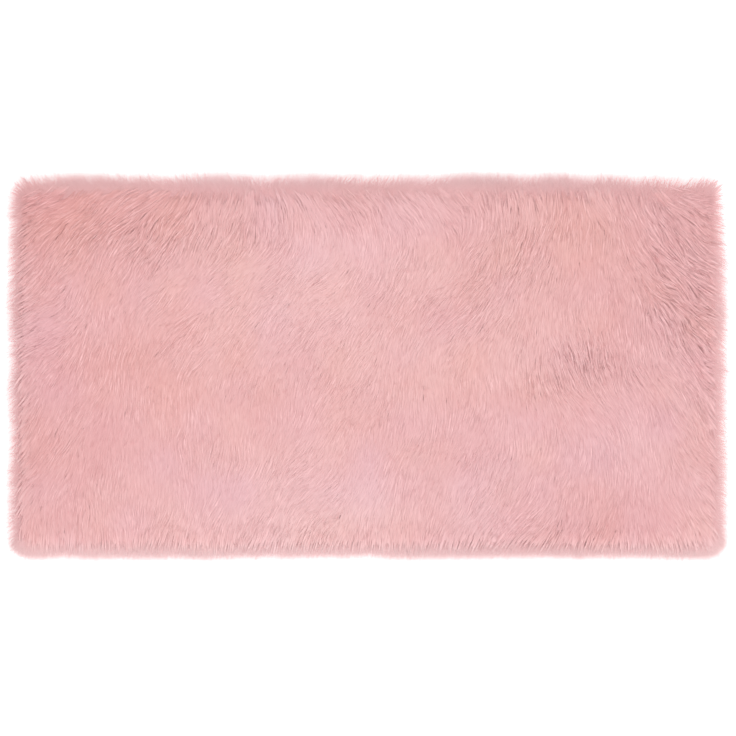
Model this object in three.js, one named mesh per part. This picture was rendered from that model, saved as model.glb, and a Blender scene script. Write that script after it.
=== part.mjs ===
// Faux sheepskin rug: one rectangle of long-pile knitted fake fur lying flat on a floor.
// Millimetres, +X along the long side, +Z up. The origin is on the floor, under the middle of the rug.
// The solid is the room that the pile takes up: a flat underside, a low rim where the tips of the pile
// lie on the floor past the cut edge, a round shoulder, and a soft uneven top with combed-in partings.

import * as THREE from "three";

// The cut piece of fabric and how its pile lies.
const CUT_LENGTH = 1220;
const CUT_WIDTH = 610;
const OVERHANG = 42; // how far the combed pile falls past the cut edge, with its thin tips
const CORNER_RADIUS = 24; // of the pile's outline
const RIM_HEIGHT = 5; // of the tips at the outline
const CROWN_HEIGHT = 31; // of the pile over the middle
const SHOULDER_REACH = 75; // how far in from the outline the pile reaches its full height

// The mesh: cells along and across, closer together near the outline.
const CELLS_ALONG = 50;
const CELLS_ACROSS = 28;

// Tufts at the outline: waves along it that draw it in, in millimetres.
const TUFTS = [
  { every: 47, inward: 1.3, phase: 0.4 },
  { every: 83, inward: 1.6, phase: 2.1 },
  { every: 210, inward: 1.2, phase: 4.0 },
];

// Slow swells of the whole top: waves along X and Y, in millimetres.
const SWELLS = [
  { alongX: 410, alongY: 520, height: 1.1, phase: 0.7 },
  { alongX: -260, alongY: 330, height: 0.8, phase: 2.6 },
  { alongX: 150, alongY: -190, height: 0.5, phase: 5.1 },
];

// Partings, where the combed pile opens: the middle of each, its half length and half width, how deep
// it is, and how far it is turned from +X, in degrees.
const PARTINGS = [
  { x: -480, y: -60, along: 120, across: 16, deep: 3, turned: 96 },
  { x: -560, y: 205, along: 60, across: 14, deep: 4, turned: 40 },
  { x: -395, y: 250, along: 75, across: 14, deep: 3, turned: 38 },
  { x: -205, y: 265, along: 60, across: 12, deep: 3, turned: -50 },
  { x: 20, y: 262, along: 70, across: 13, deep: 3, turned: -46 },
  { x: 330, y: 255, along: 80, across: 14, deep: 3, turned: -62 },
  { x: 545, y: 225, along: 60, across: 14, deep: 4, turned: -35 },
  { x: 400, y: -5, along: 75, across: 15, deep: 4, turned: 32 },
  { x: 590, y: 30, along: 45, across: 12, deep: 4, turned: -12 },
  { x: -80, y: 20, along: 130, across: 18, deep: 2, turned: 52 },
];

const HALF_LENGTH = CUT_LENGTH / 2 + OVERHANG;
const HALF_WIDTH = CUT_WIDTH / 2 + OVERHANG;

// How far the outline is drawn in at a distance along it: a sum of waves, each from 0 to twice its size.
function drawnIn(distance) {
  return TUFTS.reduce(
    (sum, { every, inward, phase }) => sum + inward * (1 + Math.sin((2 * Math.PI * distance) / every + phase)),
    0,
  );
}

// A point of the unit square moved to the rug's outline and the rings inside it. A sine packs the cells
// towards the outline, the corner squares are pressed into quarter circles, and the tufts fade inwards.
function placeInPlan(u, v) {
  let x = HALF_LENGTH * Math.sin((u * Math.PI) / 2);
  let y = HALF_WIDTH * Math.sin((v * Math.PI) / 2);
  const pastX = (Math.abs(x) - (HALF_LENGTH - CORNER_RADIUS)) / CORNER_RADIUS;
  const pastY = (Math.abs(y) - (HALF_WIDTH - CORNER_RADIUS)) / CORNER_RADIUS;
  if (pastX > 0 && pastY > 0) {
    const press = Math.max(pastX, pastY) / Math.hypot(pastX, pastY);
    x = Math.sign(x) * (HALF_LENGTH - CORNER_RADIUS + CORNER_RADIUS * pastX * press);
    y = Math.sign(y) * (HALF_WIDTH - CORNER_RADIUS + CORNER_RADIUS * pastY * press);
  }
  const nearEnd = THREE.MathUtils.smoothstep(Math.abs(x), HALF_LENGTH - SHOULDER_REACH, HALF_LENGTH);
  const nearSide = THREE.MathUtils.smoothstep(Math.abs(y), HALF_WIDTH - SHOULDER_REACH, HALF_WIDTH);
  return new THREE.Vector2(
    x - Math.sign(x) * nearEnd * drawnIn(y + Math.sign(x) * HALF_WIDTH),
    y - Math.sign(y) * nearSide * drawnIn(x + Math.sign(y) * HALF_LENGTH),
  );
}

// Distance in from the straight sides and round corners of the full outline, before the tufts.
function insetFromOutline(x, y) {
  const pastX = Math.abs(x) - (HALF_LENGTH - CORNER_RADIUS);
  const pastY = Math.abs(y) - (HALF_WIDTH - CORNER_RADIUS);
  const outside = Math.hypot(Math.max(pastX, 0), Math.max(pastY, 0));
  return CORNER_RADIUS - outside - Math.min(Math.max(pastX, pastY), 0);
}

// Depth of all partings at a place: each is a long soft dip with a round bell across and along it.
function partingDepth(x, y) {
  return PARTINGS.reduce((sum, parting) => {
    const turn = THREE.MathUtils.degToRad(parting.turned);
    const s = ((x - parting.x) * Math.cos(turn) + (y - parting.y) * Math.sin(turn)) / parting.along;
    const t = ((y - parting.y) * Math.cos(turn) - (x - parting.x) * Math.sin(turn)) / parting.across;
    return sum + parting.deep * Math.exp(-s * s - t * t);
  }, 0);
}

// Height of the pile: a quarter ellipse from the rim up to the crown, plus the swells, less the partings.
function pileHeight(x, y) {
  const inward = THREE.MathUtils.clamp(insetFromOutline(x, y) / SHOULDER_REACH, 0, 1);
  const shoulder = Math.sqrt(1 - (1 - inward) ** 2);
  const swell = SWELLS.reduce(
    (sum, { alongX, alongY, height, phase }) =>
      sum + height * Math.sin(2 * Math.PI * (x / alongX + y / alongY) + phase),
    0,
  );
  return RIM_HEIGHT + (CROWN_HEIGHT - RIM_HEIGHT) * shoulder + shoulder * (swell - partingDepth(x, y));
}

// The closed solid: a grid of cells for the top, a wall down from its rim, and a flat underside that is
// the rim's outline filled with triangles.
function makeFurSolid() {
  const columns = CELLS_ALONG + 1;
  const rows = CELLS_ACROSS + 1;
  const points = [];
  for (let row = 0; row < rows; row++) {
    for (let column = 0; column < columns; column++) {
      const plan = placeInPlan((2 * column) / CELLS_ALONG - 1, (2 * row) / CELLS_ACROSS - 1);
      points.push(new THREE.Vector3(plan.x, plan.y, pileHeight(plan.x, plan.y)));
    }
  }

  const at = (column, row) => row * columns + column;
  const triangles = [];
  for (let row = 0; row < CELLS_ACROSS; row++) {
    for (let column = 0; column < CELLS_ALONG; column++) {
      triangles.push(at(column, row), at(column + 1, row), at(column + 1, row + 1));
      triangles.push(at(column, row), at(column + 1, row + 1), at(column, row + 1));
    }
  }

  const rim = [];
  for (let column = 0; column < CELLS_ALONG; column++) rim.push(at(column, 0));
  for (let row = 0; row < CELLS_ACROSS; row++) rim.push(at(CELLS_ALONG, row));
  for (let column = CELLS_ALONG; column > 0; column--) rim.push(at(column, CELLS_ACROSS));
  for (let row = CELLS_ACROSS; row > 0; row--) rim.push(at(0, row));

  const firstFoot = points.length;
  const outline = rim.map((index) => new THREE.Vector2(points[index].x, points[index].y));
  outline.forEach(({ x, y }) => points.push(new THREE.Vector3(x, y, 0)));
  rim.forEach((topHere, i) => {
    const next = (i + 1) % rim.length;
    triangles.push(firstFoot + i, firstFoot + next, rim[next]);
    triangles.push(firstFoot + i, rim[next], topHere);
  });
  for (const [a, b, c] of THREE.ShapeUtils.triangulateShape(outline, [])) {
    triangles.push(firstFoot + a, firstFoot + c, firstFoot + b);
  }

  const solid = new THREE.BufferGeometry().setFromPoints(points);
  solid.setIndex(triangles);
  solid.computeBoundingBox();
  const middle = solid.boundingBox.getCenter(new THREE.Vector3());
  solid.translate(-middle.x, -middle.y, 0);
  solid.computeVertexNormals();
  return solid;
}

const furMaterial = new THREE.MeshStandardMaterial({ color: 0xe9b4b4, roughness: 0.85, metalness: 0 });

const rug = new THREE.Group();
const furFabric = new THREE.Mesh(makeFurSolid(), furMaterial);
furFabric.name = "fur_fabric";
rug.add(furFabric);

export default rug;
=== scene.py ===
"""Faux sheepskin rug: a knitted ground with long acrylic pile, combed over and lying flat on a floor.

Lengths are in millimetres, and a mesh turns them to metres when it is made. +X runs along the long side,
the pile is combed towards -Y and fans outwards at both ends, and +Z is up from the floor.
"""

import bpy
import numpy as np
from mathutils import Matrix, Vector


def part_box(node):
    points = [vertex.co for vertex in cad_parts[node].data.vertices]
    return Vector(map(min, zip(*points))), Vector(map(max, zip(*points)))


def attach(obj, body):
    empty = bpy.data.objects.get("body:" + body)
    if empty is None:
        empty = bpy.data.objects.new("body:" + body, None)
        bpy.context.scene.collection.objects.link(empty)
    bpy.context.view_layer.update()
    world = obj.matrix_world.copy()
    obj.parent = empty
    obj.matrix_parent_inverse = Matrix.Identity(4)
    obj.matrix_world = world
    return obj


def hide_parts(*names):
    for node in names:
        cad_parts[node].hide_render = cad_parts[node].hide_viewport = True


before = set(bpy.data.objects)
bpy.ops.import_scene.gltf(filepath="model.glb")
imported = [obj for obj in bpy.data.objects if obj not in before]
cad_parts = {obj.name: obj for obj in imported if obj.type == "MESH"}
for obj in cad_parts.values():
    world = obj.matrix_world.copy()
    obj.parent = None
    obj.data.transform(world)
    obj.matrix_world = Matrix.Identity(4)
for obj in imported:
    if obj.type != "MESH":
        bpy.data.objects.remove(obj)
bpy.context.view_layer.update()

METRE = 0.001
fur_low, fur_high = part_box("fur_fabric")

# The pile's outline and the cut edge of the ground, each by half its length and half its width.
HALF_LENGTH, HALF_WIDTH = fur_high.x / METRE, fur_high.y / METRE
OUTLINE_RADIUS = 24
CUT_LENGTH, CUT_WIDTH = 1220, 610
CUT_X, CUT_Y = CUT_LENGTH / 2, CUT_WIDTH / 2
GROUND_RADIUS = 12
OVERHANG = HALF_LENGTH - CUT_X

CROWN_HEIGHT = 31  # of the pile over the middle
RIM_HEIGHT = 5  # of the pile at its outline
SHOULDER_REACH = 75  # how far in from the outline the pile reaches its full height
GROUND_THICK = 2
LOWEST_STRAND = 0.5  # above the floor

# A soft patch somewhere on the rug: its middle, how far it reaches along X and Y, and how much it adds.
PATCH = [("x", float), ("y", float), ("reach_x", float), ("reach_y", float), ("amount", float)]

# The seeds of what is drawn at random, each the first of its kind.
SEEDS = {"furrows": 21, "short lines": 31, "long lines": 32, "layers": 100, "fringes": 200}
NOISE_SQUARES = 128  # random heights along each side of the noise's net, before it repeats
NOISE_START = 1000  # squares from the net's corner to the rug's middle

# Soft noise that makes things uneven: what it moves, how far apart its hills are, how high they are, and
# its seed. Heights are in millimetres for swell and bed, in degrees for comb and in radians for wave and
# fan. The others multiply or add to a plain number.
UNEVEN = np.array(
    [
        ("swell", 160, 1.2, 1), ("swell", 60, 0.8, 2), ("comb", 70, 10, 3), ("comb", 30, 12, 4),
        ("tousle", 16, 1, 5), ("tuft", 60, 0.7, 5), ("tuft", 26, 0.7, 6), ("wave", 45, 6.3, 7),
        ("bed", 9, 0.4, 8), ("clump", 40, 0.25, 9), ("fan", 40, 0.15, 11), ("rim tint", 2.4, 1.1, 12),
        ("rim tint", 8, 0.7, 13), ("pale", 90, 0.10, 14), ("pale", 40, 0.08, 15), ("pale", 16, 0.05, 16),
        ("warm", 60, 0.3, 17), ("crisp", 30, 0.85, 33),
    ],
    dtype=[("kind", "U8"), ("size", float), ("height", float), ("seed", int)],
)

# How the pile was combed: a place, and how far the lay there sweeps from straight down (-Y) towards +X,
# in degrees.
COMBED = np.array(
    [
        (-600, 300, -55), (-400, 300, -60), (-250, 300, -20), (-180, 300, 35), (-60, 300, 50),
        (100, 300, 45), (250, 300, 10), (460, 300, 25), (610, 300, 80), (-330, 250, -20),
        (-150, 250, 8), (-40, 250, 35), (60, 250, 15), (540, 250, 35), (-600, 200, -48),
        (-400, 200, -32), (-180, 200, -55), (-40, 200, -40), (100, 200, -20), (240, 200, -25),
        (400, 200, -10), (470, 200, 20), (540, 200, 50), (615, 200, 72), (-480, 140, -26),
        (-300, 140, -38), (-60, 140, -48), (180, 140, -38), (380, 140, -5), (540, 140, 40),
        (-610, 90, -55), (-250, 90, -40), (-40, 90, -50), (100, 90, -32), (176, 90, -46),
        (250, 90, -8), (465, 90, 2), (540, 90, 20), (610, 90, 54), (-600, 35, -40),
        (-330, 35, -28), (-180, 35, -36), (-40, 35, -32), (100, 35, -12), (200, 35, -36),
        (320, 35, -10), (390, 38, 40), (465, 35, 8), (610, 35, 50), (-470, -20, -22),
        (-250, -20, -12), (-110, -20, -20), (100, -20, -2), (250, -20, 0), (320, -20, 42),
        (460, -20, 38), (540, -20, 28), (-600, -75, -26), (-470, -75, -24), (-390, -75, 0),
        (-180, -75, -4), (-60, -75, -28), (100, -75, 2), (300, -75, 15), (400, -75, 30),
        (600, -75, 24), (-330, -130, 4), (-110, -130, -24), (30, -130, -8), (180, -130, -18),
        (300, -130, -8), (470, -130, 14), (-600, -185, -32), (-470, -185, 0), (-250, -185, -12),
        (-100, -185, -40), (30, -185, -15), (140, -185, -30), (400, -185, -15), (500, -185, 0),
        (610, -185, 40), (-330, -240, -10), (-110, -240, -34), (30, -240, -12), (250, -240, -34),
        (400, -240, -18), (-610, -285, -5), (-180, -285, -18), (30, -285, -5), (170, -285, -30),
        (540, -285, 15), (610, -285, 30),
    ],
    dtype=[("x", float), ("y", float), ("sweep", float)],
)
STROKE_REACH = 42  # how far one stroke of the comb still turns the lay
FAINTEST_STROKE = 1e-12  # the weight that a stroke has however far off it is, so that no place is without

# How hard the pile is pushed outwards at the cut edge, where 1 is as hard as the comb, and how far in.
SPLAY, SPLAY_REACH = 0.25, 18

# How far the locks at the top edge may bow out past it before they turn back, and how far in from it such
# locks are found.
BOW, BOW_REACH = 22, 12

# How far the pile falls past the cut edge on each side: the shortest, how much further the others go on
# average, with ever fewer of them the further they go, and how far the tips of a tuft stand out.
FALLS = np.array(
    [("left", 11, 14, 5), ("right", 15, 15, 6), ("bottom", 34, 8, 4), ("top", 20, 15, 6)],
    dtype=[("side", "U8"), ("shortest", float), ("further", float), ("tuft", float)],
)
LEAST_FALL, FARTHEST_FALL = 4, 56
FARTHEST_SCATTER = 8  # how much shorter than that the farthest ones may be
LEAST_KEPT = 0.05  # of its reach that a strand keeps, however little room it has

# Where the outline stands out or is drawn in, as patches of how much farther the pile falls there.
LOBES = np.array(
    [
        (-650, 310, 45, 100, -12), (590, 335, 130, 60, -13), (670, 290, 60, 70, -15),
        (-620, -340, 40, 30, -6), (620, -340, 40, 30, -6), (-560, 340, 50, 60, 4),
        (-320, 340, 30, 60, -4), (-250, 340, 30, 60, 4), (40, 340, 35, 60, -6), (190, 340, 50, 60, 3),
        (480, 340, 60, 60, -3), (-290, -340, 55, 60, 6), (560, -340, 40, 60, 4), (650, 60, 60, 50, 4),
        (650, 190, 60, 40, -4), (650, -220, 60, 50, 5), (-650, -260, 60, 40, 5),
    ],
    dtype=PATCH,
)
THIN_FROM, THIN_TO = 8, 68  # how far past the cut edge light begins to pass through, and would do wholly

# The layers of pile, from the bottom up. step_x and step_y are the spacing of the roots; reach is how far
# the tips lie from their roots; lock is how wide a lock is at its fullest; strand is the width of one
# ribbon of fibres; rise is how high a lock starts, as a share of the pile's height; under and loft are
# how far below and above the pile's height it may lie; uneven is how much the ribbons differ in dye and in
# the painted shade and highlight of the comb's lines; fall is how far past the cut edge they go, as a share
# of the full fall.
LAYERS = np.array(
    [
        ("filling", 8.0, 9.0, 4, 3, 40, 9.0, 3.4, 0.98, 1.0, -0.5, 0.2, 0.4, 2),
        ("locks", 3.2, 9.0, 4, 4, 38, 2.0, 1.0, 0.98, 0.3, 0.2, 1.0, 0.9, 4),
    ],
    dtype=[
        ("name", "U8"), ("step_x", float), ("step_y", float), ("strands", int), ("points", int),
        ("reach", float), ("lock", float), ("strand", float), ("rise", float), ("under", float),
        ("loft", float), ("uneven", float), ("fall", float), ("pieces", int),
    ],
)

# How locks of one layer differ from each other. Here and below, a pair of SHARES is the least and the most
# of a whole, drawn evenly between.
ROOT_JITTER = (0.6, 1)  # how far a root is off its net, along X and Y, as a share of the spacing
ROOT_MARGIN = 1  # between the cut edge and the nearest roots
REACH_SHARES = (0.75, 1.1)
EDGE_LONGER, EDGE_BAND = 0.35, 22  # share by which locks at the cut edge reach farther, and how far in
WAVE_TURN = 4.5  # radians of a lock's sideways wave from root to tip
WAVE_SCATTER = 0.8  # radians by which a lock's wave is out of step with its neighbours'
LOCK_SHARES = (0.85, 1.15)  # of the layer's width of a lock
CLOSING_POWER = 1.3  # above 1, a lock narrows mostly near its tip
SUNK = 0.02  # how much lower, as a share of the height, the roots of locks that stand out are
DROOP, DROOP_BAND = 0.12, 40  # share by which a lock over the cut edge may lie lower, and how far in
LOCK_SCATTER = 0.12  # of the tint, from lock to lock

# How the strands of one lock differ from each other.
SIDE_JITTER = 0.3  # as a share of the room for one strand
SLIDE = 5  # how far a strand may lie ahead or behind
SHORTER = 0.25  # share of the reach that a strand may lack
EDGE_SHORTER, EDGE_SHORTER_BAND = 0.15, 30  # how much more of it at the cut edge, and how far in
LIFT_SCATTER = 0.15  # of the height
ROLL_SCATTER = 0.04  # of the lean, in radians
WIDTH_SHARES = (0.75, 1.25)
TAPER_AT, TAPER = (0, 0.3, 0.7, 1), (0.2, 1, 0.8, 0)  # share of the width from root to tip
STRAND_SCATTER = 0.2  # of the tint

# What changes with how much the locks stand out: how much it is where the pile is smooth, and how much
# more it is where they stand out.
BY_CLUMP = {
    "tousled": (7, 12),  # degrees by which the lay waves from lock to lock
    "bend": (0.4, 0.6),  # how far a lock waves to each side
    "width": (1.6, -0.6),  # of a lock, as a share of its layer's
    "closing": (0.2, 0.6),  # how much narrower a lock is at its tip, as a share
    "lift": (0.35, 0.8),  # how far locks lie above and below each other, as a share of their layer's
    "arch": (0.05, 0.2),  # how round a lock is across
    "roll": (0.05, 0.3),  # how far the strands at a lock's sides lean outwards, in radians
}

# Where the locks stand out, as patches of how much, where 1 is fully.
CLUMPED = np.array(
    [
        (-420, 250, 170, 70, 0.65), (-220, 245, 90, 45, 0.4), (-20, 290, 170, 35, 0.5),
        (330, 270, 230, 45, 0.4), (250, 190, 70, 50, 0.4), (590, 170, 100, 170, 1.3),
        (630, -120, 50, 160, 0.8), (385, 25, 65, 35, 0.9), (330, -20, 60, 35, 0.7),
        (470, -20, 70, 40, 0.4), (-625, 150, 35, 200, 0.4), (130, 110, 160, 60, 0.25),
    ],
    dtype=PATCH,
)
CLUMPED_ANYWHERE, CLUMPED_MOST = 0.10, 1.4  # what there is between those places, and the most at all

# The furrows between locks: how far apart, how long and how wide they are, how deep they are everywhere,
# and how much deeper where the locks stand out.
FURROWS = np.array(
    [("fine", 3.4, 45, 0.4, 0.05, 2.0), ("broad", 7.5, 90, 0.5, 0.10, 2.4)],
    dtype=[
        ("name", "U8"), ("spacing", float), ("length", float), ("width", float), ("deep", float),
        ("deeper", float),
    ],
)

STEEP_FURROW = 2  # change of the noise over one spacing that makes a furrow as strong as it gets
FLATTEST = 0.01  # change of the noise over one millimetre, below which a slope counts as this

# The painted shade and highlight beside a furrow: how much deeper the painted shade is in the furrow, how
# much paler the painted highlight is on the ridge to each side, and how many widths of the furrow that
# ridge lies away.
FURROW_PAINTED_SHADE, RIDGE_PAINTED_HIGHLIGHT, RIDGE_AWAY = 2.2, 1.2, 2.6
SLOPE_STEP = 0.4  # to each side of a strand, between the places that show how a furrow's wall slopes
WALL_LEAN = 0.9  # radians by which a strand on the steepest wall leans with it
FURROW_SHADE = 1.2  # how much a furrow's depth counts in the painted shade where the pile closes
DEEPEST = 30  # below the pile's top

# The fine lines that the comb left are painted into the strands' colour: painted shade beside painted
# highlight.
LINE_SPACING = 1.4  # of the fine lines that the comb left
SHORT_LINE, LONG_LINE = 20, 60  # how far they run where the pile is smooth, and where locks stand out
LONG_LINE_TINT = 1.3  # how strong the long ones are, where the short ones have 1
CRISP, CRISP_LEAST, CRISP_MOST = 0.75, 0.1, 1.8  # how strong the short ones are, with the least and most
BLUR_FROM, BLUR_OVER = 4, 20  # past the cut edge, where all lines begin to blur, and how soon they go
EDGE_PAINTED_LIGHT, EDGE_PAINTED_LIGHT_OVER = 0.9, 12  # painted light against the shade past the cut edge: how much paler locks get, and how soon

# The strands rooted along the cut edge that fall outwards past it: coarse ones low down, which close the
# side to the floor, and fine ones over them. step is their spacing along the edge; depth is how far in
# from it their roots reach; strand is how wide one is; lowest and highest are the heights at which they
# lie, as shares of the pile's, and over is how much higher they lie at the top edge; tip is how much of
# that height is left at their tips; fall is how far they go, as a share of the full fall; tint is how
# much paler they are painted, painted light against the shade at the rim; corner is how many more fan
# out at each corner.
FRINGES = np.array(
    [
        ("skirt", 0.36, 4, 1.3, 0.1, 0.8, 0, 0.3, 0.7, 2.3, 250, 1),
        ("fringe", 0.04, 22, 0.2, 0.80, 0.90, 0.1, 0.8, 1.0, 3.0, 2500, 2),
    ],
    dtype=[
        ("name", "U8"), ("step", float), ("depth", float), ("strand", float), ("lowest", float),
        ("highest", float), ("over", float), ("tip", float), ("fall", float), ("tint", float),
        ("corner", int), ("pieces", int),
    ],
)
FRINGE_MARGIN = 0.5  # between the cut edge and the nearest roots
CORNER_SPREAD = 14  # how far from a corner its own strands are rooted
TURN_REACH = 12  # how far in from a corner the way outwards begins to turn
COMB_SHARE = 0.6  # how much the comb turns them, where the way straight outwards has 1
COMB_SCATTER = 20  # how far from its root a strand takes the comb's way
FAN_SCATTER, BEND_SCATTER, FRINGE_ROLL = 0.28, 0.25, 0.15  # radians
FRINGE_POINTS = np.array([0, 0.7, 1])  # where a strand has its points, from root to tip
FRINGE_TAPER = np.array([1, 1, 0])
FRINGE_RISE = 0.95  # height of a root, as a share of its strand's
FRINGE_SHARES = (0.7, 1.3)  # of a strand's width
FRINGE_TINT_SCATTER = 0.3

# Where the pile is deeper (below 0) or paler (above 0) between the two dyes, as patches: partly uneven dye,
# partly painted shade and painted light for how the light falls across the lay.
PALENESS = np.array(
    [
        (-560, 320, 280, 130, -0.60), (560, 290, 280, 160, -0.14), (610, 40, 130, 200, -0.06),
        (-130, 150, 220, 130, 0.18), (-120, -290, 260, 100, 0.34), (-520, -80, 260, 240, -0.30),
        (440, -290, 100, 60, -0.25), (430, 120, 90, 120, -0.12), (-655, 0, 30, 330, 0.60),
        (0, 335, 640, 30, 0.14),
    ],
    dtype=PATCH,
)
PALE_ANYWHERE = 0.58

# Where the dye leans warm (above 0) or cool (below 0), as patches.
WARMTH = np.array(
    [
        (310, 210, 150, 90, 0.45), (120, -35, 140, 70, 0.3), (-350, -60, 130, 90, 0.3),
        (-430, 235, 170, 70, 0.4), (-590, -5, 60, 140, -0.4), (-60, 240, 130, 60, -0.4),
        (490, -110, 130, 110, -0.3), (0, -230, 600, 60, -0.35),
    ],
    dtype=PATCH,
)
WARM_ANYWHERE = 0.5

# The colours: the dye from deepest to palest, then a painted shade and a painted highlight, which stand for
# it with little light and with most, the colour at the thin tips where light passes through, the casts that
# turn it cool or warm, and the yarn of the ground with the painted shade in its gaps.
DEEP_DYE, PALE_DYE = "#e1a2a5", "#edc0c4"
PAINTED_SHADE, PAINTED_HIGHLIGHT, THIN_DYE = "#b67f7e", "#ffcfd0", "#f2e2e2"
COOL_CAST, WARM_CAST = "#fcfeff", "#fffff4"
GAP_PAINTED_SHADE, YARN_DYE = "#c98f90", "#e5aeb0"

# The colours laid one over the other on the pile, painted highlight and painted shade by tint, painted
# shade where the pile closes by depth, and the pale thin tips: which value of a strand calls for it, the
# number at which it is fullest, its share there, and the colour.
OVERLAYS = [
    ("tint", 3.0, 0.8, PAINTED_HIGHLIGHT), ("tint", -3.0, 0.45, PAINTED_SHADE), ("depth", 12.0, 0.6, PAINTED_SHADE),
    ("thin", 1.0, 1.0, THIN_DYE),
]
WALE, COURSE = 1.6, 1.2  # width and height of a stitch of the knitted ground
STITCH_RELIEF = 0.3
FLOOR_PAINT, FLOOR_GLOW = "#fafafa", 0.35

# The underfur bed, which closes the view between the roots: how far it lies below the pile's top, how
# much farther at the cut edge and how far in from it, its least thickness and its gap to the ground, and
# the values that it carries as strands do.
BED_BELOW, BED_EDGE_BELOW, BED_EDGE_REACH = 3.0, 5, 12
BED_THICK, BED_GAP = 0.6, 0.1
# Its tint and depth paint the bed darker: painted shade in the gaps between the roots.
BED_VALUES = {"tint": -1.0, "pale": 0.5, "warm": 0.5, "depth": 4.0, "thin": 0.0}
GROUND_CELLS, BED_CELLS = (60, 30), (80, 42)  # along X and Y

MAP_SIZE = 1024  # points along a side of a piece's baked map
CELL_WIDTH = 3  # how many of them lie across one strand

NET_STEP = 1.0  # spacing of the net on which the lay and the furrows are worked out once
NET_X, NET_Y = 700, 400
STEP_ALONG = 4  # between the places whose noise is averaged along the lay

VIEW_WIDTH = 1325  # what the camera takes in at the height of the rim
LENS, SENSOR = 100, 36  # of the camera
RUG_IN_VIEW = (-1.8, 2.7)  # where the rug's middle lies from the middle of the view
FLOOR_REACH = 100000.0  # so far that its edge is never seen
ROOM_LIGHT = 0.835  # strength of the white light from all round
KEY_PLACE, KEY_POWER, KEY_WIDTH = (0.7, -1.2, 2.6), 1.13, 25  # its width is in degrees, and makes it soft


def soft_noise(x, y, size, seed):
    """Smooth hills from -1 to 1, about size apart: random heights on a square net, blended across each
    square by 3t^2 - 2t^3 along both its sides."""
    net = np.random.default_rng(seed).uniform(-1, 1, (NOISE_SQUARES, NOISE_SQUARES))
    u, v = np.asarray(x) / size + NOISE_START, np.asarray(y) / size + NOISE_START
    i, j = np.floor(u).astype(int), np.floor(v).astype(int)
    s, t = u - i, v - j
    s, t = s * s * (3 - 2 * s), t * t * (3 - 2 * t)
    i, j, next_i, next_j = (place % NOISE_SQUARES for place in (i, j, i + 1, j + 1))
    low = net[i, j] * (1 - s) + net[next_i, j] * s
    high = net[i, next_j] * (1 - s) + net[next_i, next_j] * s
    return low * (1 - t) + high * t


def unevenness(kind, x, y):
    """The sum of all soft noise of one kind at a place."""
    rows = UNEVEN[UNEVEN["kind"] == kind]
    return sum(row["height"] * soft_noise(x, y, row["size"], row["seed"]) for row in rows)


def by_clump(name, clump):
    """How much of something there is where locks stand out that much."""
    smooth, more = BY_CLUMP[name]
    return smooth + more * clump


def inset(x, y, half_x, half_y, radius):
    """Distance in from the edge of a rectangle with round corners, negative outside it."""
    past_x, past_y = np.abs(x) - (half_x - radius), np.abs(y) - (half_y - radius)
    outside = np.hypot(np.maximum(past_x, 0), np.maximum(past_y, 0))
    return radius - outside - np.minimum(np.maximum(past_x, past_y), 0)


def pile_height(x, y):
    """Height of the combed pile: a quarter ellipse from the rim to the crown, with slow swells."""
    inward = np.clip(inset(x, y, HALF_LENGTH, HALF_WIDTH, OUTLINE_RADIUS) / SHOULDER_REACH, 0, 1)
    shoulder = np.sqrt(1 - (1 - inward) ** 2)
    return RIM_HEIGHT + (CROWN_HEIGHT - RIM_HEIGHT) * shoulder + shoulder * unevenness("swell", x, y)


def net_places():
    """X and Y of the net's points."""
    return np.meshgrid(np.arange(-NET_X, NET_X + 1, NET_STEP), np.arange(-NET_Y, NET_Y + 1, NET_STEP))


def read_net(net, x, y):
    """What a net says at any place: its four nearest points, blended by how near each one is."""
    u = np.clip((x + NET_X) / NET_STEP, 0, net.shape[1] - 1.001)
    v = np.clip((y + NET_Y) / NET_STEP, 0, net.shape[0] - 1.001)
    i, j = u.astype(int), v.astype(int)
    s, t = u - i, v - j
    if net.ndim == 3:
        s, t = s[..., None], t[..., None]
    low = net[j, i] * (1 - s) + net[j, i + 1] * s
    high = net[j + 1, i] * (1 - s) + net[j + 1, i + 1] * s
    return low * (1 - t) + high * t


def comb_pile():
    """Which way the pile was combed, on the net: the strokes, each weighted by a round bell about its
    place, with small waves."""
    x, y = net_places()
    total, sweep = 0, 0
    for stroke in COMBED:
        apart = (x - stroke["x"]) ** 2 + (y - stroke["y"]) ** 2
        weight = np.exp(-apart / (2 * STROKE_REACH**2)) + FAINTEST_STROKE
        total, sweep = total + weight, sweep + weight * stroke["sweep"]
    waves = unevenness("comb", x, y) + by_clump("tousled", clumping(x, y)) * unevenness("tousle", x, y)
    sweep = np.radians(sweep / total + waves)
    return np.stack([np.sin(sweep), -np.cos(sweep)], -1)


def lay_of_pile(x, y):
    """Which way the pile lies: the comb's way, plus a push outwards near the ends and the bottom edge."""
    push_x = SPLAY * np.exp(-((np.maximum(CUT_X - np.abs(x), 0) / SPLAY_REACH) ** 2)) * np.sign(x)
    push_y = SPLAY * np.exp(-((np.maximum(CUT_Y + y, 0) / SPLAY_REACH) ** 2))
    lay = read_net(COMB_NET, x, y) + np.stack([push_x, -push_y], -1)
    return lay / np.maximum(np.linalg.norm(lay, axis=-1, keepdims=True), 1)


def draw_out(x, y, spacing, length, seed):
    """Soft noise drawn out along the comb's way, scaled to a spread of 1: its average over places ahead
    and behind, so that it changes quickly across the lay and slowly along it."""
    steps = int(length / 2 / STEP_ALONG)
    total = soft_noise(x, y, spacing, seed)
    for way in (-STEP_ALONG, STEP_ALONG):
        here_x, here_y = x, y
        for _ in range(steps):
            lay = read_net(COMB_NET, here_x, here_y)
            here_x, here_y = here_x + way * lay[..., 0], here_y + way * lay[..., 1]
            total = total + soft_noise(here_x, here_y, spacing, seed)
    return total / total.std()


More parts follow.
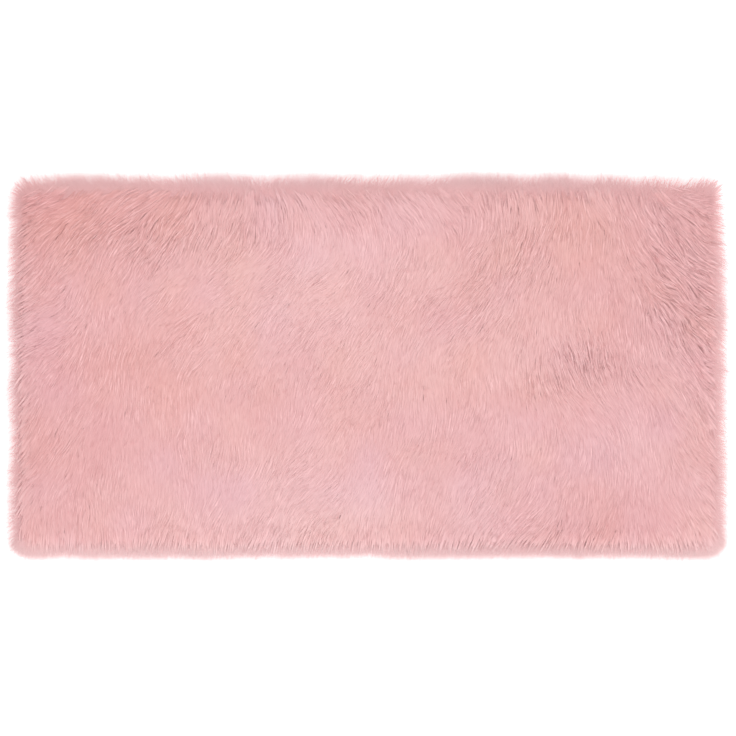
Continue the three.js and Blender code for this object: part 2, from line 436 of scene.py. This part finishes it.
def painted_comb_lines(x, y, length, seed):
    """Painted shade and painted highlight along the fine lines that the comb left, each with a pale and a
    deep side: drawn-out noise a little to one side of a place less the same noise a little to its other
    side."""
    lay = read_net(COMB_NET, x, y) * LINE_SPACING / 2
    one = draw_out(x - lay[..., 1], y + lay[..., 0], LINE_SPACING, length, seed)
    other = draw_out(x + lay[..., 1], y - lay[..., 0], LINE_SPACING, length, seed)
    return (one - other) / (one - other).std()


def find_furrows(furrow, seed):
    """On the net, how far each place lies from the nearest furrow of this size, and how strong that one
    is: furrows run where the drawn-out noise crosses zero, and a steep crossing makes a strong one."""
    noise = draw_out(*net_places(), furrow["spacing"], furrow["length"], seed)
    steep = np.hypot(*np.gradient(noise, NET_STEP))
    strong = np.clip(steep * furrow["spacing"] / STEEP_FURROW, 0, 1)
    return np.stack([noise / np.maximum(steep, FLATTEST), strong], -1)


def furrow_depth(x, y):
    """How deep the furrows between locks are: each falls off by e over its width to both sides."""
    clump = clumping(x, y)
    total = 0
    for furrow, net in zip(FURROWS, FURROW_NETS):
        away, strong = np.moveaxis(read_net(net, x, y), -1, 0)
        deep = furrow["deep"] + furrow["deeper"] * clump
        total = total + strong * deep * np.exp(-np.abs(away) / furrow["width"])
    return total


def painted_ridge_light(x, y):
    """Painted shade and highlight beside the furrows where locks stand out: deeper in a furrow, where
    little light gets in, and paler on the two ridges beside it, which catch it."""
    total = 0
    for furrow, net in zip(FURROWS, FURROW_NETS):
        away, strong = np.moveaxis(read_net(net, x, y), -1, 0)
        away = np.abs(away) / furrow["width"]
        ridge = RIDGE_PAINTED_HIGHLIGHT * np.exp(-((away - RIDGE_AWAY) ** 2))
        total = total + strong * (ridge - FURROW_PAINTED_SHADE * np.exp(-away))
    return total * clumping(x, y)


def patches(table, x, y):
    """The sum of soft patches at places: each is its amount times a round bell over its reach."""
    total = 0
    for patch in table:
        u, v = (x - patch["x"]) / patch["reach_x"], (y - patch["y"]) / patch["reach_y"]
        total = total + patch["amount"] * np.exp(-(u**2) - v**2)
    return total


def clumping(x, y):
    """How much the locks stand out at a place, where 1 is fully: soft patches on a light unevenness."""
    clump = patches(CLUMPED, x, y) + CLUMPED_ANYWHERE + unevenness("clump", x, y)
    return np.clip(clump, 0, CLUMPED_MOST)


def paleness(x, y):
    """How pale the pile is at a place, from 0 to 1: soft patches, partly uneven dye and partly painted
    shade and light, and a light unevenness.
    """
    return np.clip(patches(PALENESS, x, y) + PALE_ANYWHERE + unevenness("pale", x, y), 0, 1)


def warmth(x, y):
    """How warm the dye leans at a place, from 0 for cool to 1 for warm: soft patches and unevenness."""
    return np.clip(patches(WARMTH, x, y) + WARM_ANYWHERE + unevenness("warm", x, y), 0, 1)


def follow_lay(start, reach, points):
    """Places along each lock: from its root, equal steps the way the pile lies there."""
    places = [start]
    for _ in range(points - 1):
        here = places[-1]
        lay = lay_of_pile(here[:, 0], here[:, 1])
        places.append(here + lay * (reach / (points - 1))[:, None])
    return np.stack(places, 1)


def outside_cut(places):
    """How far places lie past the cut edge of the ground."""
    return -inset(places[..., 0], places[..., 1], CUT_X, CUT_Y, GROUND_RADIUS)


def lock_paths(layer, random):
    """The middle line of each lock of a layer, with its root, its reach, how much it stands out, and the
    ways along and across it.

    Roots lie on a jittered net inside the cut edge. A lock follows the lay, is drawn back where it would
    fall too far past the edge, and waves to both sides by a sine that grows from its root."""
    columns, rows = int(CUT_LENGTH / layer["step_x"]), int(CUT_WIDTH / layer["step_y"])
    net = np.stack(np.meshgrid(np.arange(columns), np.arange(rows)), -1).reshape(-1, 2) + 0.5
    net = net + random.uniform(-0.5, 0.5, net.shape) * ROOT_JITTER
    root = net / (columns, rows) * (CUT_LENGTH, CUT_WIDTH) - (CUT_X, CUT_Y)
    root = root[outside_cut(root) < -ROOT_MARGIN]
    count, points = len(root), layer["points"]
    clump = clumping(root[:, 0], root[:, 1])

    reach = layer["reach"] * random.uniform(*REACH_SHARES, count)
    reach = reach * (1 + EDGE_LONGER * np.exp(-((outside_cut(root) / EDGE_BAND) ** 2)))
    from_top = CUT_Y - root[:, 1]
    root[:, 1] += BOW * random.uniform(0, 1, count) * np.exp(-((from_top / BOW_REACH) ** 2))
    tip = follow_lay(root, reach, points)[:, -1]
    reach = reach * kept_share(root, tip, layer["fall"] * fall_past_edge(tip, random))
    path = follow_lay(root, reach, points)

    t = np.linspace(0, 1, points)
    along, across = directions(path)
    phase = unevenness("wave", root[:, 0], root[:, 1]) + random.normal(0, WAVE_SCATTER, count)
    bent = random.normal(0, 1, count) * by_clump("bend", clump)
    wave = bent[:, None] * np.sin(WAVE_TURN * t + phase[:, None]) * t
    path = path + across * wave[..., None]
    return {"root": root, "reach": reach, "clump": clump, "path": path, "along": along, "across": across}


def spread_strands(layer, locks, random):
    """Where the strands of each lock lie in plan, as [lock, strand, point]: side by side, closing in by a
    power of the way to the tip, each slid a little ahead or behind and a little shorter than its lock.
    Also each one's side of its lock, from -1/2 to 1/2, its distance from the middle, and the lock's
    width."""
    count, strands, clump = len(locks["root"]), layer["strands"], locks["clump"]
    t = np.linspace(0, 1, layer["points"])
    jitter = random.uniform(-SIDE_JITTER, SIDE_JITTER, (count, strands)) / strands
    side = (np.arange(strands) + 0.5) / strands - 0.5 + jitter
    body = layer["lock"] * random.uniform(*LOCK_SHARES, count) * by_clump("width", clump)
    width = body[:, None] * (1 - by_clump("closing", clump)[:, None] * t**CLOSING_POWER)
    offset = side[..., None] * width[:, None]
    past = outside_cut(locks["path"][:, -1])
    most = (SHORTER + EDGE_SHORTER * np.clip(1 + past / EDGE_SHORTER_BAND, 0, 1))[:, None]
    shorter = (random.uniform(0, 1, (count, strands)) * most * locks["reach"][:, None])[..., None] * t
    slide = random.uniform(-SLIDE, SLIDE, (count, strands))[..., None] - shorter
    place = locks["path"][:, None] + locks["across"][:, None] * offset[..., None]
    return place + locks["along"][:, None] * slide[..., None], side, offset, width[:, None]


def lift_strands(layer, locks, place, offset, width, random):
    """Height of each strand's points, and how deep they lie in the pile. A lock rises from its root by
    1 - (1 - t)^3 to the height of the pile, less the furrows and a round arch across, and plus a lift of
    its own. At the cut edge it starts at full height and droops as it falls over."""
    count, strands, clump, root = len(locks["root"]), layer["strands"], locks["clump"], locks["root"]
    t = np.linspace(0, 1, layer["points"])
    pile = pile_height(place[..., 0], place[..., 1])
    furrow = furrow_depth(place[..., 0], place[..., 1])
    edge = np.clip(1 + outside_cut(root) / DROOP_BAND, 0, 1)
    fallen = inset_from_outline(root) - inset_from_outline(locks["path"][:, -1])
    droop = edge * np.clip(fallen / locks["reach"], 0, 1) * random.uniform(0, DROOP, count)
    share = (1 - droop)[:, None, None]
    lift = random.uniform(-layer["under"], layer["loft"], count) * by_clump("lift", clump)
    lift = lift[:, None, None] + random.normal(0, LIFT_SCATTER, (count, strands))[..., None]
    start = layer["rise"] - SUNK * clump
    start = (start + (1 - start) * edge)[:, None, None]
    rising = start + (1 - start) * (1 - (1 - t) ** 3)
    arch = by_clump("arch", clump)[:, None, None] * offset**2 / np.maximum(width, 1)
    height = (pile * share + (lift - arch - furrow) * np.clip(pile / CROWN_HEIGHT, 0, 1)) * rising
    height = np.maximum(height, LOWEST_STRAND)
    # The depth, with the furrows counted more, sets the painted shade where the pile closes.
    return height, np.clip(pile * share - height + FURROW_SHADE * furrow, 0, DEEPEST)


def lean_strands(locks, place, side, random):
    """How far each strand leans over from level: outwards at the sides of its lock, and with the wall of
    a furrow, by tanh of the wall's slope."""
    beside = SLOPE_STEP * locks["across"][:, None]
    left, right = place - beside, place + beside
    slope = furrow_depth(right[..., 0], right[..., 1]) - furrow_depth(left[..., 0], left[..., 1])
    lean = -side * by_clump("roll", locks["clump"])[:, None] + random.normal(0, ROLL_SCATTER, side.shape)
    return lean[..., None] - WALL_LEAN * np.tanh(slope)


def tint_strands(layer, locks, place, random):
    """How pale or deep each strand is at its points, in dye and in painted light: painted shade and
    highlight along the lines that the comb left, a scatter of dye from lock to lock and from strand to
    strand, painted shade and highlight at ridges and furrows, and painted light past the cut edge, where
    the lines blur."""
    x, y = place[..., 0], place[..., 1]
    count, strands = place.shape[:2]
    past = outside_cut(place)
    clear = 1 - np.clip((past - BLUR_FROM) / BLUR_OVER, 0, 1)
    crisp = clear * np.clip(CRISP + unevenness("crisp", x, y), CRISP_LEAST, CRISP_MOST)
    lines = crisp * painted_comb_lines(x, y, SHORT_LINE, SEEDS["short lines"])
    standing = LONG_LINE_TINT * clear * locks["clump"][:, None, None]
    lines = lines + standing * painted_comb_lines(x, y, LONG_LINE, SEEDS["long lines"])
    own = LOCK_SCATTER * random.normal(0, 1, (count, 1))
    own = own + STRAND_SCATTER * random.normal(0, 1, (count, strands))
    tint = layer["uneven"] * (lines + own[..., None]) + clear * painted_ridge_light(x, y)
    # Painted light: paler past the cut edge, against the shade that falls there.
    return tint + EDGE_PAINTED_LIGHT * np.clip(past / EDGE_PAINTED_LIGHT_OVER, 0, 1)


def grow_locks(layer, seed):
    """All strands of one layer, one row for each: its middle line, the way to its side, and what the
    material reads."""
    random = np.random.default_rng(seed)
    locks = lock_paths(layer, random)
    place, side, offset, width = spread_strands(layer, locks, random)
    height, depth = lift_strands(layer, locks, place, offset, width, random)
    lean = lean_strands(locks, place, side, random)
    taper = np.interp(np.linspace(0, 1, layer["points"]), TAPER_AT, TAPER)
    half = layer["strand"] / 2 * random.uniform(*WIDTH_SHARES, side.shape)[..., None] * taper
    tip = locks["path"][:, -1]
    rows = (side.size, layer["points"])
    return {
        "centre": np.concatenate([place, height[..., None]], -1).reshape(*rows, 3),
        "side": ribbon_sides(locks["across"][:, None], lean, half).reshape(*rows, 3),
        "tint": tint_strands(layer, locks, place, random).reshape(rows),
        "pale": np.repeat(paleness(tip[:, 0], tip[:, 1]), layer["strands"]),
        "warm": np.repeat(warmth(tip[:, 0], tip[:, 1]), layer["strands"]),
        "depth": depth.reshape(rows),
        "thin": thinness(place).reshape(rows),
    }


def inset_from_outline(places):
    """Distance in from the pile's outline."""
    return inset(places[..., 0], places[..., 1], HALF_LENGTH, HALF_WIDTH, OUTLINE_RADIUS)


def thinness(places):
    """How thin the pile is at places, from 0 inside the cut edge towards 1 at the farthest tips."""
    return np.clip((outside_cut(places) - THIN_FROM) / (THIN_TO - THIN_FROM), 0, 1)


def fall_past_edge(places, random):
    """How far strands reach past the cut edge, by the side that each one is nearest to."""
    x, y = places[:, 0], places[:, 1]
    near_end = CUT_X - np.abs(x) < CUT_Y - np.abs(y)
    side = FALLS[np.where(near_end, np.where(x < 0, 0, 1), np.where(y < 0, 2, 3))]
    further = side["further"] * random.exponential(1, len(x))
    fall = side["shortest"] + further + side["tuft"] * unevenness("tuft", x, y)
    farthest = FARTHEST_FALL - random.uniform(0, FARTHEST_SCATTER, len(x))
    return np.clip(fall + patches(LOBES, x, y), LEAST_FALL, farthest)


def kept_share(root, tip, fall):
    """The share of its reach that each strand keeps, so that it falls no farther past the cut edge."""
    inside, outside = inset_from_outline(root), inset_from_outline(tip)
    stop = OVERHANG - fall
    share = np.where(outside < stop, (inside - stop) / np.maximum(inside - outside, 1), 1)
    return np.clip(share, LEAST_KEPT, 1)


def directions(path):
    """Along each path at its points, and square to it in plan, both of length 1."""
    tangent = np.gradient(path, axis=1)
    tangent /= np.maximum(np.linalg.norm(tangent, axis=-1, keepdims=True), 1e-6)
    return tangent, np.stack([-tangent[..., 1], tangent[..., 0]], -1)


def ribbon_sides(across, lean, half):
    """From a ribbon's middle to its side: half its width, turned about its length from level."""
    level, upright = np.cos(lean) * half, np.sin(lean) * half
    return np.concatenate([across * level[..., None], upright[..., None]], -1)


def rim_places(s):
    """The place on the cut edge at a distance s round it, from its lower left corner: each side adds its
    own clipped share of s."""
    third, fourth = CUT_LENGTH + CUT_WIDTH, 2 * CUT_LENGTH + CUT_WIDTH
    x = np.clip(s, 0, CUT_LENGTH) - np.clip(s - third, 0, CUT_LENGTH)
    y = np.clip(s - CUT_LENGTH, 0, CUT_WIDTH) - np.clip(s - fourth, 0, CUT_WIDTH)
    return np.stack([x - CUT_X, y - CUT_Y], -1)


def way_outwards(root):
    """Straight out from the cut edge, turning round the corners: each side's own way, which falls off by
    e over a short distance in from that side."""
    near_x = np.exp(-np.maximum(CUT_X - np.abs(root[:, 0]), 0) / TURN_REACH)
    near_y = np.exp(-np.maximum(CUT_Y - np.abs(root[:, 1]), 0) / TURN_REACH)
    return np.sign(root) * np.stack([near_x, near_y], -1)


def grow_fringe(kind, seed):
    """Strands rooted near the cut edge that fall outwards: the way straight out, turned by the comb where
    that doesn't lead back in, with some scatter. They lie at all heights between two shares of the
    pile's and drop towards the floor at their tips."""
    random = np.random.default_rng(seed)
    around = 2 * (CUT_LENGTH + CUT_WIDTH)
    spaced = int(around / kind["step"])
    s = (np.arange(spaced) + random.uniform(0, 1, spaced)) * kind["step"]
    corners = np.repeat(np.cumsum([CUT_LENGTH, CUT_WIDTH, CUT_LENGTH, CUT_WIDTH]), kind["corner"])
    s = np.concatenate([s, (corners + random.normal(0, CORNER_SPREAD, len(corners))) % around])
    count, points = len(s), len(FRINGE_POINTS)
    root = rim_places(s) * (1 - random.uniform(FRINGE_MARGIN, kind["depth"], (count, 1)) / (CUT_X, CUT_Y))

    normal = way_outwards(root)
    comb = read_net(COMB_NET, *(root + random.normal(0, COMB_SCATTER, (count, 2))).T)
    inwards = np.minimum((comb * normal).sum(-1), 0) / (normal**2).sum(-1)
    outward = normal + COMB_SHARE * (comb - inwards[:, None] * normal)
    angle = np.arctan2(outward[:, 1], outward[:, 0])
    angle = angle + unevenness("fan", root[:, 0], root[:, 1]) + random.normal(0, FAN_SCATTER, count)
    outward = np.stack([np.cos(angle), np.sin(angle)], -1)

    long = kind["depth"] + FARTHEST_FALL
    tip = root + outward * long
    reach = long * kept_share(root, tip, kind["fall"] * fall_past_edge(tip, random))
    bend = angle[:, None] + random.normal(0, BEND_SCATTER, count)[:, None] * FRINGE_POINTS
    ahead = np.stack([np.cos(bend), np.sin(bend)], -1) * reach[:, None, None]
    path = np.cumsum(ahead * np.diff(FRINGE_POINTS, prepend=0)[:, None], 1)
    path = root[:, None] + path * kept_share(root, root + path[:, -1], FARTHEST_FALL)[:, None, None]

    at_top = np.maximum(normal[:, 1], 0) / np.abs(normal).sum(-1)
    share = random.uniform(kind["lowest"], kind["highest"], count) + kind["over"] * at_top
    drop = np.array([FRINGE_RISE, 1, kind["tip"]])
    height = np.maximum(pile_height(path[..., 0], path[..., 1]) * share[:, None] * drop, LOWEST_STRAND)
    lean = random.normal(0, FRINGE_ROLL, count)[:, None]
    half = kind["strand"] / 2 * random.uniform(*FRINGE_SHARES, count)[:, None] * FRINGE_TAPER
    # Painted light: the rim's strands are painted paler, against the shade among them, with some scatter.
    tint = kind["tint"] + FRINGE_TINT_SCATTER * random.normal(0, 1, count)
    tint = tint + unevenness("rim tint", s, 0 * s)
    return {
        "centre": np.concatenate([path, height[..., None]], -1),
        "side": ribbon_sides(directions(path)[1], lean, half),
        "tint": np.repeat(tint[:, None], points, 1),
        "pale": paleness(root[:, 0], root[:, 1]),
        "warm": warmth(root[:, 0], root[:, 1]),
        "depth": np.zeros((count, points)),
        "thin": thinness(path),
    }


def mesh_piece(name, vertices, triangles, material):
    """A piece made of triangles, from whole arrays, with its place in its mesh."""
    mesh = bpy.data.meshes.new(name)
    mesh.vertices.add(len(vertices))
    mesh.vertices.foreach_set("co", (vertices * METRE).astype(np.float32).ravel())
    mesh.loops.add(triangles.size)
    mesh.loops.foreach_set("vertex_index", triangles.astype(np.int32).ravel())
    mesh.polygons.add(len(triangles))
    mesh.polygons.foreach_set("loop_start", np.arange(0, triangles.size, 3, dtype=np.int32))
    mesh.update(calc_edges=True)
    mesh.shade_smooth()
    mesh.materials.append(material)
    piece = bpy.data.objects.new(name, mesh)
    bpy.context.scene.collection.objects.link(piece)
    return piece


def strand_mesh(name, strands, material):
    """One mesh of tapering ribbons: two vertices at each point of a strand, but one at its tip."""
    centre, side = strands["centre"], strands["side"]
    count, points = centre.shape[:2]
    pairs = np.stack([centre - side, centre + side], 2)[:, :-1].reshape(count, -1, 3)
    vertices = np.concatenate([pairs, centre[:, -1:]], 1)
    per = vertices.shape[1]
    cell = np.array([[0, 1, 3], [0, 3, 2]])
    tip = np.array([[per - 3, per - 2, per - 1]])
    pattern = np.concatenate([*(cell + 2 * point for point in range(points - 2)), tip])
    triangles = (pattern + per * np.arange(count)[:, None, None]).reshape(-1, 3)
    piece = mesh_piece(name, vertices.reshape(-1, 3), triangles, material)
    for value_name in ("depth", "thin", "tint"):
        values = strands[value_name]
        paired = np.concatenate([np.repeat(values[:, :-1], 2, 1), values[:, -1:]], 1)
        add_values(piece, value_name, paired.ravel())
    for value_name in ("pale", "warm"):
        add_values(piece, value_name, np.repeat(strands[value_name], per))
    corners = lay_on_map(strands["tint"].mean(1), points)[triangles]
    baked_map = piece.data.uv_layers.new(name="OFBake")
    baked_map.data.foreach_set("uv", corners.astype(np.float32).ravel())
    return piece


def lay_on_map(tint, points):
    """Where each vertex of each strand lies on its piece's baked map: every strand fills a cell of its
    own, root at the bottom and tip at the middle of the top, and cells go in the order of the strands'
    tint so that each lies between cells of much the same colour."""
    columns = MAP_SIZE // CELL_WIDTH
    rows = -(-len(tint) // columns)
    cell = np.argsort(np.argsort(tint, kind="stable"), kind="stable")
    up = np.append(np.repeat(np.linspace(0, 1, points)[:-1], 2), 1)
    along = np.append(np.tile([0, 1], points - 1), 0.5)
    u = (cell[:, None] % columns + along) * CELL_WIDTH / MAP_SIZE
    v = (cell[:, None] // columns + up) / rows
    return np.stack([u, v], -1).reshape(-1, 2)


def add_values(piece, name, values):
    """Gives each vertex a number that a material can read by name."""
    piece.data.attributes.new(name, "FLOAT", "POINT").data.foreach_set("value", values.astype(np.float32))


def linear(colour):
    """A hex sRGB colour as the linear RGBA that sockets take."""
    parts = np.array([int(colour[i : i + 2], 16) for i in (1, 3, 5)]) / 255
    parts = np.where(parts <= 0.04045, parts / 12.92, ((parts + 0.055) / 1.055) ** 2.4)
    return (*parts, 1)


def add_node(material, kind, settings=None, links=None):
    """Adds a node, sets its properties and plain inputs, and links the sockets that are given."""
    node = material.node_tree.nodes.new(kind)
    for name, value in (settings or {}).items():
        if isinstance(name, str) and hasattr(node, name):
            setattr(node, name, value)
        else:
            node.inputs[name].default_value = value
    for name, socket in (links or {}).items():
        material.node_tree.links.new(socket, node.inputs[name])
    return node


def new_material(name):
    """A material with no nodes yet."""
    material = bpy.data.materials.new(name)
    material.use_nodes = True
    material.node_tree.nodes.clear()
    return material


def finish_material(material, shader):
    """Leads a shader to the material's surface."""
    output = add_node(material, "ShaderNodeOutputMaterial")
    material.node_tree.links.new(shader.outputs[0], output.inputs["Surface"])
    return material


def acrylic_pile():
    """Acrylic pile, extruded as fine filaments, dyed and brushed: soft and a little silky, uneven from
    patch to patch in dye and in painted shade and light, each lock a little paler or deeper in dye and in
    painted shade and highlight along the comb's lines and furrows, paler in painted light at the rim, and
    deeper still in painted shade where the pile closes. Light passes through its thin tips, so they look
    paler and less dyed."""
    material = new_material("acrylic_pile")
    values = {
        name: add_node(material, "ShaderNodeAttribute", {"attribute_name": name}).outputs["Fac"]
        for name in ("pale", "tint", "depth", "thin", "warm")
    }
    dyed = add_node(
        material, "ShaderNodeMix", {"data_type": "RGBA", 6: linear(DEEP_DYE), 7: linear(PALE_DYE)},
        {0: values["pale"]},
    )
    cast = add_node(
        material, "ShaderNodeMix", {"data_type": "RGBA", 6: linear(COOL_CAST), 7: linear(WARM_CAST)},
        {0: values["warm"]},
    )
    colour = add_node(
        material, "ShaderNodeMix", {"data_type": "RGBA", "blend_type": "MULTIPLY", 0: 1.0},
        {6: dyed.outputs[2], 7: cast.outputs[2]},
    )
    # Laid over the dye: painted highlight and painted shade by tint, painted shade where the pile closes,
    # and the pale thin tips.
    for name, fullest, share, dye in OVERLAYS:
        amount = add_node(
            material, "ShaderNodeMapRange", {"From Min": 0.0, "From Max": fullest, "To Max": share},
            {"Value": values[name]},
        )
        colour = add_node(
            material, "ShaderNodeMix", {"data_type": "RGBA", 7: linear(dye)},
            {0: amount.outputs[0], 6: colour.outputs[2]},
        )
    shader = add_node(
        material,
        "ShaderNodeBsdfPrincipled",
        {"Roughness": 0.65, "Specular IOR Level": 0.25, "Sheen Weight": 0.1, "Sheen Roughness": 0.5},
        {"Base Color": colour.outputs[2]},
    )
    return finish_material(material, shader)


def knitted_ground():
    """Polyester knitted in fine V-shaped stitches and dyed with its pile: wales run along Y, courses along
    X, and each stitch is a small pale bulge with painted shade in the darker gaps between, so that the back
    reads as cloth."""
    material = new_material("knitted_ground")
    place = add_node(material, "ShaderNodeTexCoord")
    parts = add_node(material, "ShaderNodeSeparateXYZ", links={"Vector": place.outputs["Object"]})
    slant = add_node(
        material, "ShaderNodeMath", {"operation": "PINGPONG", 1: WALE / 2 * METRE}, {0: parts.outputs["X"]}
    )
    slanted = add_node(
        material, "ShaderNodeMath", {"operation": "ADD"}, {0: parts.outputs["Y"], 1: slant.outputs[0]}
    )
    courses = add_node(
        material, "ShaderNodeMath", {"operation": "MULTIPLY", 1: 2 * np.pi / (COURSE * METRE)},
        {0: slanted.outputs[0]},
    )
    stitch = add_node(material, "ShaderNodeMath", {"operation": "SINE"}, {0: courses.outputs[0]})
    bulge = add_node(material, "ShaderNodeMapRange", {"From Min": -1.0}, {"Value": stitch.outputs[0]})
    # Painted shade: the colour goes darker in the gaps between the stitches.
    yarn = add_node(
        material, "ShaderNodeMix", {"data_type": "RGBA", 6: linear(GAP_PAINTED_SHADE), 7: linear(YARN_DYE)},
        {0: bulge.outputs[0]},
    )
    bump = add_node(
        material, "ShaderNodeBump", {"Strength": 0.5, "Distance": STITCH_RELIEF * METRE},
        {"Height": bulge.outputs[0]},
    )
    shader = add_node(
        material, "ShaderNodeBsdfPrincipled", {"Roughness": 0.9, "Specular IOR Level": 0.2},
        {"Base Color": yarn.outputs[2], "Normal": bump.outputs[0]},
    )
    return finish_material(material, shader)


def matt_white_floor():
    """Matt white paint rolled on a studio floor: no gloss at all, and a weak light of its own, so that it
    stays white under the soft light."""
    material = new_material("matt_white_floor")
    shader = add_node(
        material,
        "ShaderNodeBsdfPrincipled",
        {
            "Base Color": linear(FLOOR_PAINT), "Roughness": 1.0, "Specular IOR Level": 0.0,
            "Emission Color": linear("#ffffff"), "Emission Strength": FLOOR_GLOW,
        },
    )
    return finish_material(material, shader)


def cut_sheet(name, cells, top, bottom, material):
    """A closed slab as large as the cut piece, on a grid of two parameters: a sine packs the cells
    towards the edge, the corner squares are pressed into quarter circles, both faces follow a height at
    each place, and a wall joins their rims."""
    u, v = np.meshgrid(np.linspace(-1, 1, cells[0] + 1), np.linspace(-1, 1, cells[1] + 1))
    x, y = CUT_X * np.sin(u * np.pi / 2), CUT_Y * np.sin(v * np.pi / 2)
    straight_x, straight_y = CUT_X - GROUND_RADIUS, CUT_Y - GROUND_RADIUS
    past_x, past_y = np.abs(x) - straight_x, np.abs(y) - straight_y
    corner = (past_x > 0) & (past_y > 0)
    press = np.where(corner, np.maximum(past_x, past_y) / np.maximum(np.hypot(past_x, past_y), 1e-9), 1)
    x = np.where(corner, np.sign(x) * (straight_x + past_x * press), x)
    y = np.where(corner, np.sign(y) * (straight_y + past_y * press), y)
    over = np.stack([x, y, top(x, y)], -1).reshape(-1, 3)
    under = np.stack([x, y, bottom(x, y)], -1).reshape(-1, 3)
    index = np.arange(x.size).reshape(x.shape)
    a, b = index[:-1, :-1].ravel(), index[:-1, 1:].ravel()
    c, d = index[1:, 1:].ravel(), index[1:, :-1].ravel()
    faces = np.concatenate([np.stack([a, b, c], 1), np.stack([a, c, d], 1)])
    rim = np.concatenate([index[0, :-1], index[:-1, -1], index[-1, :0:-1], index[:0:-1, 0]])
    after = np.roll(rim, -1)
    foot, foot_after = rim + x.size, after + x.size
    wall = np.concatenate([np.stack([foot, foot_after, after], 1), np.stack([foot, after, rim], 1)])
    triangles = np.concatenate([faces, faces[:, ::-1] + x.size, wall])
    return mesh_piece(name, np.concatenate([over, under]), triangles, material)


def ground_top(x, y):
    """The top of the knitted ground, which is flat."""
    return np.full_like(x, GROUND_THICK)


def ground_bottom(x, y):
    """The underside of the knitted ground, which lies on the floor."""
    return np.zeros_like(x)


def bed_top(x, y):
    """The top of the underfur: a little below the pile's, farther below it near the cut edge, which falls
    off by e over a short distance in, slightly uneven, and never less than its least thickness."""
    from_cut = np.maximum(inset(x, y, CUT_X, CUT_Y, GROUND_RADIUS), 0)
    below = BED_BELOW + BED_EDGE_BELOW * np.exp(-from_cut / BED_EDGE_REACH)
    return np.maximum(pile_height(x, y) - below + unevenness("bed", x, y), GROUND_THICK + BED_THICK)


def bed_bottom(x, y):
    """The underside of the underfur, which lies just clear of the ground."""
    return np.full_like(x, GROUND_THICK + BED_GAP)


def lay_pile(name, strands, count, material):
    """Makes the strands as this many pieces, each a strip that runs along the rug, and lists them."""
    order = np.argsort(strands["centre"][:, 0, 1], kind="stable")
    pieces = []
    for number, chosen in enumerate(np.array_split(order, count)):
        part = {key: values[chosen] for key, values in strands.items()}
        pieces.append(strand_mesh(f"pile_{name}_{number + 1}", part, material))
    return pieces


# The nets on which the lay and the furrows are worked out once.
COMB_NET = comb_pile()
FURROW_NETS = [find_furrows(furrow, SEEDS["furrows"] + number) for number, furrow in enumerate(FURROWS)]

# The rug.
pile_material = acrylic_pile()
ground = cut_sheet("ground_cloth", GROUND_CELLS, ground_top, ground_bottom, knitted_ground())
bed = cut_sheet("underfur_bed", BED_CELLS, bed_top, bed_bottom, pile_material)
for value_name, value in BED_VALUES.items():
    add_values(bed, value_name, np.full(len(bed.data.vertices), value))

pile_pieces = [bed]
for number, layer in enumerate(LAYERS):
    strands = grow_locks(layer, SEEDS["layers"] + number)
    pile_pieces += lay_pile(layer["name"], strands, layer["pieces"], pile_material)
for number, kind in enumerate(FRINGES):
    strands = grow_fringe(kind, SEEDS["fringes"] + number)
    pile_pieces += lay_pile(kind["name"], strands, kind["pieces"], pile_material)

for piece in [*pile_pieces, ground]:
    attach(piece, "root")
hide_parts("fur_fabric")

# The stage.
floor_corners = np.array([[-1, -1, 0], [1, -1, 0], [1, 1, 0], [-1, 1, 0]]) * FLOOR_REACH
floor = mesh_piece("floor", floor_corners, np.array([[0, 1, 2], [0, 2, 3]]), matt_white_floor())

camera_data = bpy.data.cameras.new("camera")
camera_data.lens = LENS
camera_data.sensor_width = SENSOR
camera_data.clip_end = 2 * FLOOR_REACH * METRE
camera = bpy.data.objects.new("camera", camera_data)
distance = VIEW_WIDTH * LENS / SENSOR
camera.location = (-RUG_IN_VIEW[0] * METRE, -RUG_IN_VIEW[1] * METRE, (distance + RIM_HEIGHT) * METRE)
bpy.context.scene.collection.objects.link(camera)
bpy.context.scene.camera = camera

world = bpy.data.worlds.new("soft_room")
world.use_nodes = True
world.node_tree.nodes["Background"].inputs["Color"].default_value = (1, 1, 1, 1)
world.node_tree.nodes["Background"].inputs["Strength"].default_value = ROOM_LIGHT
bpy.context.scene.world = world

key_light = bpy.data.lights.new("key_light", "SUN")
key_light.energy = KEY_POWER
key_light.angle = np.radians(KEY_WIDTH)
key_lamp = bpy.data.objects.new("key_light", key_light)
key_lamp.location = KEY_PLACE
key_lamp.rotation_euler = Vector(KEY_PLACE).to_track_quat("Z", "Y").to_euler()
bpy.context.scene.collection.objects.link(key_lamp)

bpy.context.scene.view_settings.view_transform = "Standard"
bpy.context.scene.view_settings.exposure = 0.0
